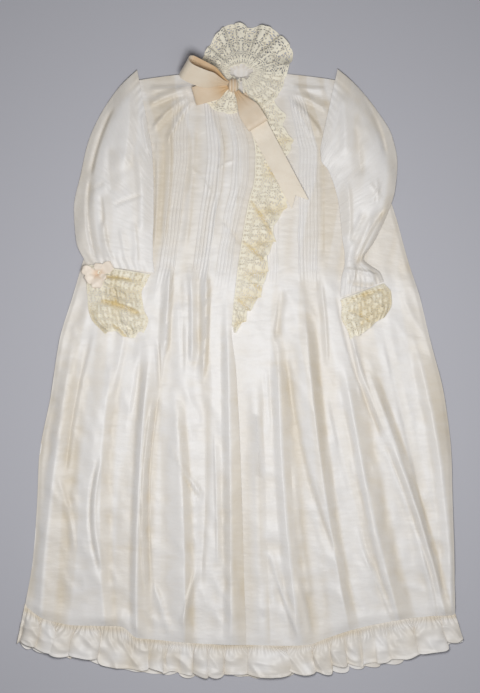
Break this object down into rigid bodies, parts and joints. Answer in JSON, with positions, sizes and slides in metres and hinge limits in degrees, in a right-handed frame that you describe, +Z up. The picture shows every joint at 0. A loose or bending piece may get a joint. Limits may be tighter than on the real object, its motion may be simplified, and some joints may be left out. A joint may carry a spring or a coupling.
{
  "type": "christening gown",
  "caption": "Infant's christening gown in ivory silk, laid flat: tucked fronts, full sleeves, lace collar, jabot and cuffs, ribbon bow at the neck, ruffled hem.",
  "frame": {"origin": "on the surface the gown lies on, under the middle of its width and length", "axes": "+X across the gown to the wearer's left, +Y from the hem to the neck, +Z up from the surface it lies on"},
  "size_m": [0.512, 0.7515, 0.0421],
  "materials": {
    "silk": "plain woven silk with a soft sheen",
    "lace": "matt cotton lace, fine net with flowers",
    "ribbon": "ribbed silk ribbon with a low sheen",
    "rosette_ribbon": "narrow silk ribbon with a low sheen"
  },
  "bodies": {
    "root": {"back": "silk", "front_right": "silk", "front_left": "silk", "sleeve_right": "silk", "sleeve_left": "silk", "neckband": "silk", "hem_ruffle_front": "silk", "hem_ruffle_back": "silk", "collar_lace": "lace", "jabot_lace": "lace", "cuff_lace_right": "lace", "cuff_lace_left": "lace", "bow_knot": "ribbon", "bow_loop_standing": "ribbon", "bow_loop_flat": "ribbon", "bow_loop_front": "ribbon", "bow_tail": "ribbon", "cuff_rosette": "rosette_ribbon"}
  },
  "joints": []
}
